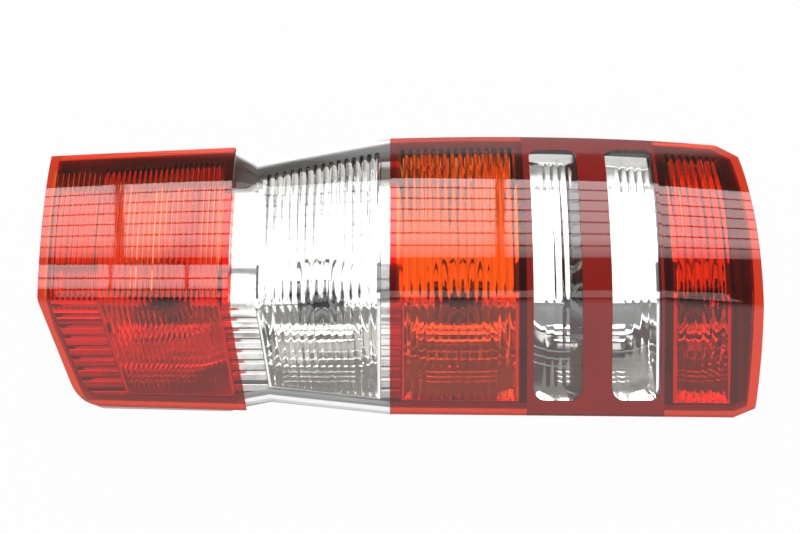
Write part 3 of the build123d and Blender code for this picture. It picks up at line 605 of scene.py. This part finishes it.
def field_slab(name, left, right, side, length, chamber, waisted, material):
    """One lens field: outer surface from the lens height, inner surface a wall below it with flutes.

    On the side face the flutes keep to the reflector; on the rear face to the field's own span of flutes.
    Each point keeps how deep the flutes are there, on both faces and on the side face alone, and its
    share of the lip; the first two values also place the painted highlight and painted shade tints.
    """
    settings = bpy.context.scene.lamp_lens
    pitch = settings.flute_pitch if waisted else settings.flute_pitch_fine
    s = np.linspace(0.0, 1.0, int(length / pitch) * FLUTE_STEPS + 1)[:, None]
    x, y = plan_grid(left, right, side, door_edge, s, ends_closer(FIELD_ROWS, 0.5))
    top = np.stack([x, y, lens_height(x, y, 0.0, waisted)], axis=-1)
    rear, flank = flute_windows(y, side(x), door_edge(x))
    x0, lean0, x1, lean1 = CHAMBERS[chamber]
    flank = flank * between(x, slanted(x0, lean0)(y), slanted(x1, lean1)(y)) * pitch / settings.flute_pitch
    window = rear * between(x, *FLUTE_SPANS[chamber]) + flank
    lip = 1.0 - smooth_step((y - side(x) - LIP_WIDTH) / LIP_EASE)
    flutes = flute_wave(s, length, FIELD_MARGIN, pitch) * window
    inner = lens_height(x, y, settings.wall, waisted) + settings.flute_depth * flutes
    obj = slab(name, top, np.stack([x, y, inner], axis=-1), material)
    # The window and flank values also mark where the lens materials paint their highlight or shade tint.
    for key, values in (("window", window), ("flank", flank), ("lip", lip)):
        layer = obj.data.attributes.new(key, "FLOAT", "POINT")
        layer.data.foreach_set("value", np.tile(values.ravel(), 2).astype(np.float32))
    return obj


def bar_slab(name, centre, material):
    """One clear bar, a long rounded rectangle in plan: half its width, less a round corner at the ends."""
    settings = bpy.context.scene.lamp_lens
    y = BAR_SIDE + ends_closer(BAR_ROWS, 0.7) * (BAR_DOOR - BAR_SIDE)
    near = np.clip(BAR_CORNER - np.minimum(y - BAR_SIDE, BAR_DOOR - y), 0.0, BAR_CORNER)
    half = BAR_WIDTH / 2 - BAR_CORNER + np.sqrt(BAR_CORNER**2 - near**2)
    s = np.linspace(0.0, 1.0, BAR_COLUMNS)[:, None]
    x = centre + half * (2.0 * s - 1.0)
    y = np.broadcast_to(y, x.shape)
    top = np.stack([x, y, lens_height(x, y, 0.0, True)], axis=-1)
    flutes = flute_wave(s, BAR_WIDTH, BAR_MARGIN, settings.flute_pitch)
    flutes = flutes * sum(flute_windows(y, BAR_SIDE, BAR_DOOR))
    inner = lens_height(x, y, settings.wall, True) + BAR_FLUTE_SHARE * settings.flute_depth * flutes
    return slab(name, top, np.stack([x, y, inner], axis=-1), material)


def walk_round(corners, steps):
    """A closed loop through corner points, with the given number of even steps from each to the next."""
    follow = np.roll(corners, -1, axis=0)
    q = np.linspace(0.0, 1.0, steps, endpoint=False)[None, :, None]
    return (corners[:, None] + q * (follow - corners)[:, None]).reshape(-1, 2)


def band_ring(name, x0, x1, centre, material):
    """Half of the dark band: a ring between the band's own outline and a bar's rounded rectangle.

    A loop round a square is stretched to both: outwards to the band's edges, inwards to |corner| + radius.
    """
    wall = bpy.context.scene.lamp_lens.wall
    loop = walk_round(np.array([(-1.0, -1.0), (1.0, -1.0), (1.0, 1.0), (-1.0, 1.0)]), BAND_SIDE_STEPS)
    outer_x, outer_y = plan_grid(
        slanted(x0, 0.0), slanted(x1, 0.0), side_edge, door_edge, (loop[:, 0] + 1) / 2, (loop[:, 1] + 1) / 2
    )
    middle_y = (BAR_DOOR + BAR_SIDE) / 2
    half_x = BAR_WIDTH / 2 - BAR_CORNER
    half_y = (BAR_DOOR - BAR_SIDE) / 2 - BAR_CORNER
    square_x = loop[:, 0] * BAR_WIDTH / 2
    square_y = loop[:, 1] * (BAR_DOOR - BAR_SIDE) / 2
    core_x = np.clip(square_x, -half_x, half_x)
    core_y = np.clip(square_y, -half_y, half_y)
    reach = np.hypot(square_x - core_x, square_y - core_y)
    inner_x = centre + core_x + (square_x - core_x) * BAR_CORNER / reach
    inner_y = middle_y + core_y + (square_y - core_y) * BAR_CORNER / reach
    q = np.linspace(0.0, 1.0, BAND_ROWS)[None, :]
    x = outer_x[:, None] + q * (inner_x - outer_x)[:, None]
    y = outer_y[:, None] + q * (inner_y - outer_y)[:, None]
    top = np.stack([x, y, lens_height(x, y, 0.0, True)], axis=-1)
    under = np.stack([x, y, lens_height(x, y, wall, True)], axis=-1)[:, ::-1]
    return ring_body(name, np.concatenate([top, under], axis=1), material)


class TAILLIGHT_OT_lens(bpy.types.Operator):
    """Build the colour shots of the lens"""

    bl_idname = "taillight.lens"
    bl_label = "Lens shots"

    def execute(self, context):
        settings = context.scene.lamp_lens
        # Painted highlight: the red shots' fluted windows take a more orange tint, the middle shot's most;
        # painted shade: the clear shot's side window takes a darker grey tint.
        red = lens_acrylic("red acrylic", settings.red, settings.window, "window")
        middle_red_highlight = lens_acrylic("red acrylic, middle", settings.red, settings.window_middle_highlight, "window")
        clear = lens_acrylic("clear acrylic", settings.clear, settings.window_clear_shade, "flank")
        boundary = slanted(STEP, BOUNDARY_SLANT)
        clear_stop = slanted(CLEAR_END, 0.0)
        band_start = slanted(BAND_START, 0.0)
        band_end = slanted(BAND_END, 0.0)
        fields = (
            ("lens_red_lower", lower_end, boundary, STEP - LOWER_END, "fog", red),
            ("lens_clear", boundary, clear_stop, CLEAR_END - STEP, "reverse", clear),
            ("lens_red_middle", clear_stop, band_start, BAND_START - CLEAR_END, "brake", middle_red_highlight),
            ("lens_red_upper", band_end, upper_end, UPPER_END - BAND_END, "tail", red),
        )
        for node, left, right, length, chamber, material in fields:
            waisted = chamber != "fog"
            side = side_edge if waisted else side_edge_lower
            name = node.replace("lens", "shot")
            obj = field_slab(name, left, right, side, length, chamber, waisted, material)
            declare(obj, "lens_clear" if material is clear else "lens_red", node)
        for node, centre in zip(("lens_bar_lower", "lens_bar_upper"), BAR_CENTRES):
            declare(bar_slab(node.replace("lens", "shot"), centre, clear), "lens_clear", node)
        dark = opaque_gloss("dark red acrylic", settings.dark)
        middle = sum(BAR_CENTRES) / 2
        halves = ((BAND_START, middle), (middle, BAND_END))
        for index, ((x0, x1), centre) in enumerate(zip(halves, BAR_CENTRES)):
            half = band_ring(f"shot_dark_band_{index}", x0, x1, centre, dark)
            declare(half, "lens_dark", "lens_dark_band")
        return {"FINISHED"}


def reflector_loop(name, inset, count):
    """A reflector box's outline in plan, walked round: the four sides of its field, moved inwards."""
    x0, lean0, x1, lean1 = CHAMBERS[name]
    edge = side_edge_lower if name == "fog" else side_edge
    run = np.linspace(0.0, 1.0, count, endpoint=False)
    zero = np.zeros(count)
    s = np.concatenate([run, zero + 1.0, 1.0 - run, zero])
    t = np.concatenate([zero, run, zero + 1.0, 1.0 - run])
    return plan_grid(
        slanted(x0 + inset, lean0),
        slanted(x1 - inset, lean1),
        lambda x: edge(x) + CHAMBER_INSET + inset,
        lambda x: door_edge(x) - CHAMBER_DOOR_INSET - inset,
        s,
        t,
    )


def dish_height(x, y, centre_x, stretch):
    """Height of a reflector's floor: a flat round the bulb, then a slope with ledges, over a length r.

    With u = max(|x - bulb| - stretch, 0), r is hypot(u, y - bulb) on the side half, which also has fine
    ridges h cos^2(pi d / 2 w) at set radii near the bulb's own X, the outer ones in zigzags. On the rear
    half r is u, and the floor rises towards the door edge.
    """
    radius = np.hypot(np.maximum(np.abs(x - centre_x) - stretch, 0.0), np.minimum(y - BULB_Y, 0.0))
    beyond = radius - DISH_FLOOR_RADIUS
    run = (beyond + np.sqrt(beyond**2 + DISH_SOFTNESS**2)) / 2
    ledges = np.clip(radius[..., None] - DISH_LEDGES, 0.0, DISH_LEDGE_WIDTH).sum(axis=-1)
    sway = np.abs((x - centre_x) / RIDGE_PITCH % 1.0 - 0.5)[..., None] * RIDGE_SWAYS
    offset = np.minimum(np.abs(radius[..., None] + sway - DISH_RIDGES) / RIDGE_HALF, 1.0)
    ridges = (RIDGE_HEIGHTS * np.cos(offset * math.pi / 2) ** 2).sum(axis=-1)
    ridges = ridges * smooth_step((BULB_Y - y) / RIDGE_EASE_Y)
    ridges = ridges * smooth_step((RIDGE_REACH - np.abs(x - centre_x)) / RIDGE_EASE_X)
    return DISH_FLOOR_Z + DISH_CLIMB * (run - ledges) + ridges + DOOR_CLIMB * np.maximum(y - BULB_Y, 0.0)


def ray_distance(across, along, radius, stretch):
    """How far from the bulb, along rays of unit direction (across, along), the floor's r is a radius."""
    lean = np.maximum(np.abs(across), 1e-6)
    straight = radius / np.maximum(-along, 1e-6)
    bent = stretch * lean + np.sqrt(np.maximum(radius**2 - (stretch * along) ** 2, 0.0))
    bowl = np.where(lean * straight <= stretch, straight, bent)
    return np.where(along < 0.0, bowl, (radius + stretch) / lean)


def dish_radii(across, along, limit, stretch, steps):
    """Distances from the bulb hole to a limit for each ray, with one on each edge of ledges and ridges."""
    ledges = np.append(DISH_LEDGES, DISH_LEDGES + DISH_LEDGE_WIDTH)
    ridges = (DISH_RIDGES[:, None] + RIDGE_HALF * np.array([-1.0, 0.0, 1.0])).ravel()
    edges = np.sort(np.concatenate([[DISH_FLOOR_RADIUS], ledges, ridges]))[None, :]
    stops = ray_distance(across[:, None], along[:, None], edges, stretch)
    stops = np.concatenate([np.full((len(limit), 1), DISH_HOLE), stops], axis=1)
    room = ROW_GAP * np.arange(stops.shape[1], 0, -1)
    stops = np.minimum(stops, limit[:, None] - room)
    stops = np.concatenate([stops, limit[:, None]], axis=1)
    q = np.linspace(0.0, 1.0, steps, endpoint=False)
    radii = stops[:, :-1, None] + q * (stops[:, 1:] - stops[:, :-1])[:, :, None]
    return np.concatenate([radii.reshape(len(limit), -1), limit[:, None]], axis=1)


def reflector_ring(name, material):
    """A reflector box as a ring of sections: floor, wall, rim, outer wall and underside.

    The floor is z = min(dish, rim), walked outwards from the bulb hole along rays.
    """
    waisted = name != "fog"
    x0, _, x1, _ = CHAMBERS[name]
    centre_x = (x0 + x1) / 2
    stretch = max((x1 - x0) / 2 - DISH_FLOOR_RADIUS, 0.0)

    def sheet(loop_x, loop_y, sink, steps):
        reach = np.hypot(loop_x - centre_x, loop_y - BULB_Y)
        across = (loop_x - centre_x) / reach
        along = (loop_y - BULB_Y) / reach
        radii = dish_radii(across, along, reach, stretch, steps)
        x = centre_x + radii * across[:, None]
        y = BULB_Y + radii * along[:, None]
        z = np.minimum(dish_height(x, y, centre_x, stretch), lens_height(x, y, RIM_INSET, waisted)) - sink
        return np.stack([x, y, z], axis=-1)

    def upright(x, y, low, high, steps):
        q = np.linspace(0.0, 1.0, steps)[None, :]
        z = low[:, None] + q * (high - low)[:, None]
        return np.stack(np.broadcast_arrays(x[:, None], y[:, None], z), axis=-1)

    inner_x, inner_y = reflector_loop(name, REFLECTOR_WALL, BOX_SIDE_STEPS)
    outer_x, outer_y = reflector_loop(name, 0.0, BOX_SIDE_STEPS)
    rim_inner = lens_height(inner_x, inner_y, RIM_INSET, waisted)
    rim_outer = lens_height(outer_x, outer_y, RIM_INSET, waisted)
    bowl = sheet(inner_x, inner_y, 0.0, 3)
    back = sheet(outer_x, outer_y, REFLECTOR_WALL, 1)[:, ::-1]
    wall = upright(inner_x, inner_y, bowl[:, -1, 2] + RIM_GAP, rim_inner + 2 * RIM_GAP, BOX_WALL_ROWS)
    outside = upright(outer_x, outer_y, rim_outer + 2 * RIM_GAP, back[:, 0, 2] + RIM_GAP, BOX_WALL_ROWS)
    return ring_body("box_" + name, np.concatenate([bowl, wall, outside, back], axis=1), material, 15.0)


class TAILLIGHT_OT_reflectors(bpy.types.Operator):
    """Build the metallised reflector boxes and dress the ribbed trims"""

    bl_idname = "taillight.reflectors"
    bl_label = "Reflector boxes"

    def execute(self, context):
        mirror = metallised("metallised film", 0.03, 0.09)
        satin = metallised("metallised film, satin", 0.08, 0.12)
        for name in CHAMBERS:
            declare(reflector_ring(name, mirror), "metallised", "reflector_" + name)
        for node in ("ribbed_trim_end", "ribbed_trim_waist", "ribbed_trim_centre"):
            dress(node, satin)
        return {"FINISHED"}


class TAILLIGHT_OT_finishes(bpy.types.Operator):
    """Give the housing, bulbs, carrier and hardware their finishes"""

    bl_idname = "taillight.finishes"
    bl_label = "Finishes"

    def execute(self, context):
        housing = moulded("housing plastic", (0.47, 0.47, 0.465), (0.53, 0.53, 0.525), 0.42, 0.25)
        carrier = moulded("carrier plastic", (0.42, 0.43, 0.44), (0.48, 0.49, 0.5), 0.45, 0.2)
        rubber = moulded("seal rubber", (0.012, 0.012, 0.012), (0.024, 0.024, 0.024), 0.75, 0.5)
        strip = bare_metal("contact brass", (0.6, 0.43, 0.2), (0.74, 0.56, 0.3), 0.3, (1.0, 12.0, 12.0))
        cap = bare_metal("cap metal", (0.6, 0.59, 0.55), (0.74, 0.73, 0.69), 0.22, (12.0, 12.0, 1.0))
        steel = bare_metal("plated steel", (0.5, 0.5, 0.48), (0.66, 0.66, 0.63), 0.32, (12.0, 12.0, 1.0))
        plain = bulb_glass("bulb glass", (0.98, 0.98, 0.975))
        amber = bulb_glass("amber glass", (0.95, 0.89, 0.78))
        finishes = {
            housing: ("housing", "connector_shell"),
            carrier: ("bulb_carrier",),
            rubber: ("carrier_seal", "body_seal", "breather_cap"),
            strip: ("centre_contacts", "ground_track", "supply_tracks", "connector_pins"),
            steel: ("mounting_studs",),
            cap: tuple("bulb_cap_" + name for name in CHAMBERS),
            plain: tuple("bulb_glass_" + name for name in CHAMBERS if name != "turn"),
            amber: ("bulb_glass_turn",),
        }
        for material, nodes in finishes.items():
            for node in nodes:
                dress(node, material)
        return {"FINISHED"}


def reckon(tree, operation, first, second=None):
    """The result of a Math node, whose inputs are other nodes' outputs or plain numbers."""
    node = tree.nodes.new("ShaderNodeMath")
    node.operation = operation
    for socket, value in zip(node.inputs, (first, second)):
        if isinstance(value, bpy.types.NodeSocket):
            tree.links.new(value, socket)
        elif value is not None:
            socket.default_value = value
    return node.outputs[0]


def floor_finish():
    """A pale floor that looks white and still takes a faint shadow."""
    material = bpy.data.materials.new("studio floor")
    material.use_nodes = True
    tree = material.node_tree
    tree.nodes.remove(tree.nodes["Principled BSDF"])
    paint = tree.nodes.new("ShaderNodeBsdfDiffuse")
    paint.inputs["Color"].default_value = (0.5, 0.5, 0.5, 1.0)
    glow = tree.nodes.new("ShaderNodeEmission")
    mix = tree.nodes.new("ShaderNodeMixShader")
    path = tree.nodes.new("ShaderNodeLightPath")
    seen = reckon(tree, "MAXIMUM", path.outputs["Is Camera Ray"], path.outputs["Is Transmission Ray"])
    tree.links.new(reckon(tree, "MULTIPLY", seen, FLOOR_GLOW), mix.inputs[0])
    tree.links.new(paint.outputs[0], mix.inputs[1])
    tree.links.new(glow.outputs[0], mix.inputs[2])
    tree.links.new(mix.outputs[0], tree.nodes["Material Output"].inputs["Surface"])
    return material


def softbox_finish(level, seams):
    """A glowing cloth panel with thin dark seams and a dimmer lower edge, on the panel's own UV map."""
    material = bpy.data.materials.new("softbox cloth")
    material.use_nodes = True
    tree = material.node_tree
    tree.nodes.remove(tree.nodes["Principled BSDF"])
    place = tree.nodes.new("ShaderNodeTexCoord")
    split = tree.nodes.new("ShaderNodeSeparateXYZ")
    tree.links.new(place.outputs["UV"], split.inputs[0])
    lit = 1.0
    for axis, count, width in (("Y", seams, SEAM_WIDTH), ("X", CROSS_SEAMS, CROSS_SEAM_WIDTH)):
        along = reckon(tree, "FRACT", reckon(tree, "MULTIPLY", split.outputs[axis], count))
        lit = reckon(tree, "MULTIPLY", lit, reckon(tree, "GREATER_THAN", along, width))
    strength = tree.nodes.new("ShaderNodeMapRange")
    strength.inputs["To Min"].default_value = SEAM_LIGHT * level
    strength.inputs["To Max"].default_value = level
    tree.links.new(lit, strength.inputs["Value"])
    fade = tree.nodes.new("ShaderNodeMapRange")
    fade.inputs["From Max"].default_value = LOW_EDGE_FADE
    fade.inputs["To Min"].default_value = LOW_EDGE_LIGHT
    tree.links.new(split.outputs["Y"], fade.inputs["Value"])
    glow = tree.nodes.new("ShaderNodeEmission")
    product = reckon(tree, "MULTIPLY", strength.outputs["Result"], fade.outputs["Result"])
    tree.links.new(product, glow.inputs["Strength"])
    tree.links.new(glow.outputs[0], tree.nodes["Material Output"].inputs["Surface"])
    return material


def softbox(name, level, seams, first, last, start, stop, arch=0.0):
    """A curved panel over the lamp from start to stop in X, between two angles about the lamp's length.

    The upper angle drops towards the panel's ends: last - arch x^2, in degrees.
    """
    u = np.linspace(0.0, 1.0, PANEL_GRID[0])[:, None]
    v = np.linspace(0.0, 1.0, PANEL_GRID[1])[None, :]
    x = start + u * (stop - start)
    angle = np.radians(first + v * (last - arch * x**2 - first))
    y = PANEL_RADIUS * np.sin(angle)
    z = PANEL_AXIS_Z + PANEL_RADIUS * np.cos(angle)
    points = np.stack(np.broadcast_arrays(x, y, z), axis=-1).reshape(-1, 3)
    flat = np.stack(np.broadcast_arrays(u, v), axis=-1).reshape(-1, 2)
    quads = grid_quads(np.arange(len(points)).reshape(PANEL_GRID))
    mesh = bpy.data.meshes.new(name)
    mesh.from_pydata(points.tolist(), [], quads.tolist())
    layer = mesh.uv_layers.new(name="panel")
    layer.data.foreach_set("uv", flat[quads.ravel()].astype(np.float32).ravel())
    mesh.materials.append(softbox_finish(level, seams))
    obj = bpy.data.objects.new(name, mesh)
    bpy.context.scene.collection.objects.link(obj)
    obj.visible_camera = False
    obj.visible_shadow = False
    return obj


def room_light(level):
    """A studio room: white on the camera's side, dark overhead, dim beyond the lamp, white to the camera."""
    world = bpy.data.worlds.new("studio")
    world.use_nodes = True
    tree = world.node_tree
    back = tree.nodes["Background"]
    place = tree.nodes.new("ShaderNodeTexCoord")
    split = tree.nodes.new("ShaderNodeSeparateXYZ")
    tree.links.new(place.outputs["Generated"], split.inputs[0])
    shift = tree.nodes.new("ShaderNodeMapRange")
    shift.inputs["From Min"].default_value = -1.0
    tree.links.new(split.outputs["Y"], shift.inputs["Value"])
    ramp = tree.nodes.new("ShaderNodeValToRGB")
    stops = ramp.color_ramp.elements
    for place_y, _ in ROOM_STOPS[1:-1]:
        stops.new((place_y + 1.0) / 2)
    for stop, (_, shade) in zip(stops, ROOM_STOPS):
        stop.color = (*shade, 1.0)
    tree.links.new(shift.outputs["Result"], ramp.inputs["Fac"])
    tree.links.new(ramp.outputs["Color"], back.inputs["Color"])
    back.inputs["Strength"].default_value = level
    sky = tree.nodes.new("ShaderNodeBackground")
    sky.inputs["Color"].default_value = (1.0, 1.0, 1.0, 1.0)
    mix = tree.nodes.new("ShaderNodeMixShader")
    path = tree.nodes.new("ShaderNodeLightPath")
    tree.links.new(path.outputs["Is Camera Ray"], mix.inputs[0])
    tree.links.new(back.outputs[0], mix.inputs[1])
    tree.links.new(sky.outputs[0], mix.inputs[2])
    tree.links.new(mix.outputs[0], tree.nodes["World Output"].inputs["Surface"])
    bpy.context.scene.world = world


class TAILLIGHT_OT_stage(bpy.types.Operator):
    """Set the floor, the studio light and the camera"""

    bl_idname = "taillight.stage"
    bl_label = "Stage"

    def execute(self, context):
        settings = context.scene.lamp_stage
        scene = context.scene
        scene.view_settings.view_transform = "Standard"
        room_light(settings.ambient)
        mesh = bpy.data.meshes.new("floor")
        signs = ((-1, -1), (1, -1), (1, 1), (-1, 1))
        corners = [(FLOOR_HALF * a, FLOOR_HALF * b, FLOOR_Z) for a, b in signs]
        mesh.from_pydata(corners, [], [(0, 1, 2, 3)])
        mesh.materials.append(floor_finish())
        ground = bpy.data.objects.new("floor", mesh)
        scene.collection.objects.link(ground)
        main_box = softbox("softbox", settings.softbox, settings.seams, *MAIN_PANEL, MAIN_ARCH)
        low_box = softbox("lower softbox", settings.softbox, LOWER_SEAMS, *LOWER_PANEL)
        strip = softbox("overhead strip", settings.overhead, STRIP_SEAMS, *STRIP_PANEL)
        data = bpy.data.cameras.new("camera")
        data.lens = CAMERA_LENS
        data.sensor_width = CAMERA_SENSOR
        camera = bpy.data.objects.new("camera", data)
        camera.location = CAMERA_PLACE
        camera.rotation_euler = (CAMERA_TILT, 0.0, 0.0)
        scene.collection.objects.link(camera)
        scene.camera = camera
        return {"FINISHED"}


class TAILLIGHT_PT_panel(bpy.types.Panel):
    """Lists the lamp's settings and steps"""

    bl_label = "Tail light"
    bl_idname = "TAILLIGHT_PT_panel"
    bl_space_type = "VIEW_3D"
    bl_region_type = "UI"
    bl_category = "Tail Light"

    def draw(self, context):
        layout = self.layout
        for settings in (context.scene.lamp_lens, context.scene.lamp_stage):
            for name in settings.__annotations__:
                layout.prop(settings, name)
        for operator in OPERATORS:
            layout.operator(operator.bl_idname)


OPERATORS = (TAILLIGHT_OT_lens, TAILLIGHT_OT_reflectors, TAILLIGHT_OT_finishes, TAILLIGHT_OT_stage)
CLASSES = (LensSettings, StageSettings, *OPERATORS, TAILLIGHT_PT_panel)


def register():
    for cls in CLASSES:
        bpy.utils.register_class(cls)
    bpy.types.Scene.lamp_lens = PointerProperty(type=LensSettings)
    bpy.types.Scene.lamp_stage = PointerProperty(type=StageSettings)


def unregister():
    del bpy.types.Scene.lamp_stage
    del bpy.types.Scene.lamp_lens
    for cls in reversed(CLASSES):
        bpy.utils.unregister_class(cls)


def main():
    register()
    bpy.ops.taillight.lens()
    bpy.ops.taillight.reflectors()
    bpy.ops.taillight.finishes()
    bpy.ops.taillight.stage()


if __name__ == "__main__":
    main()
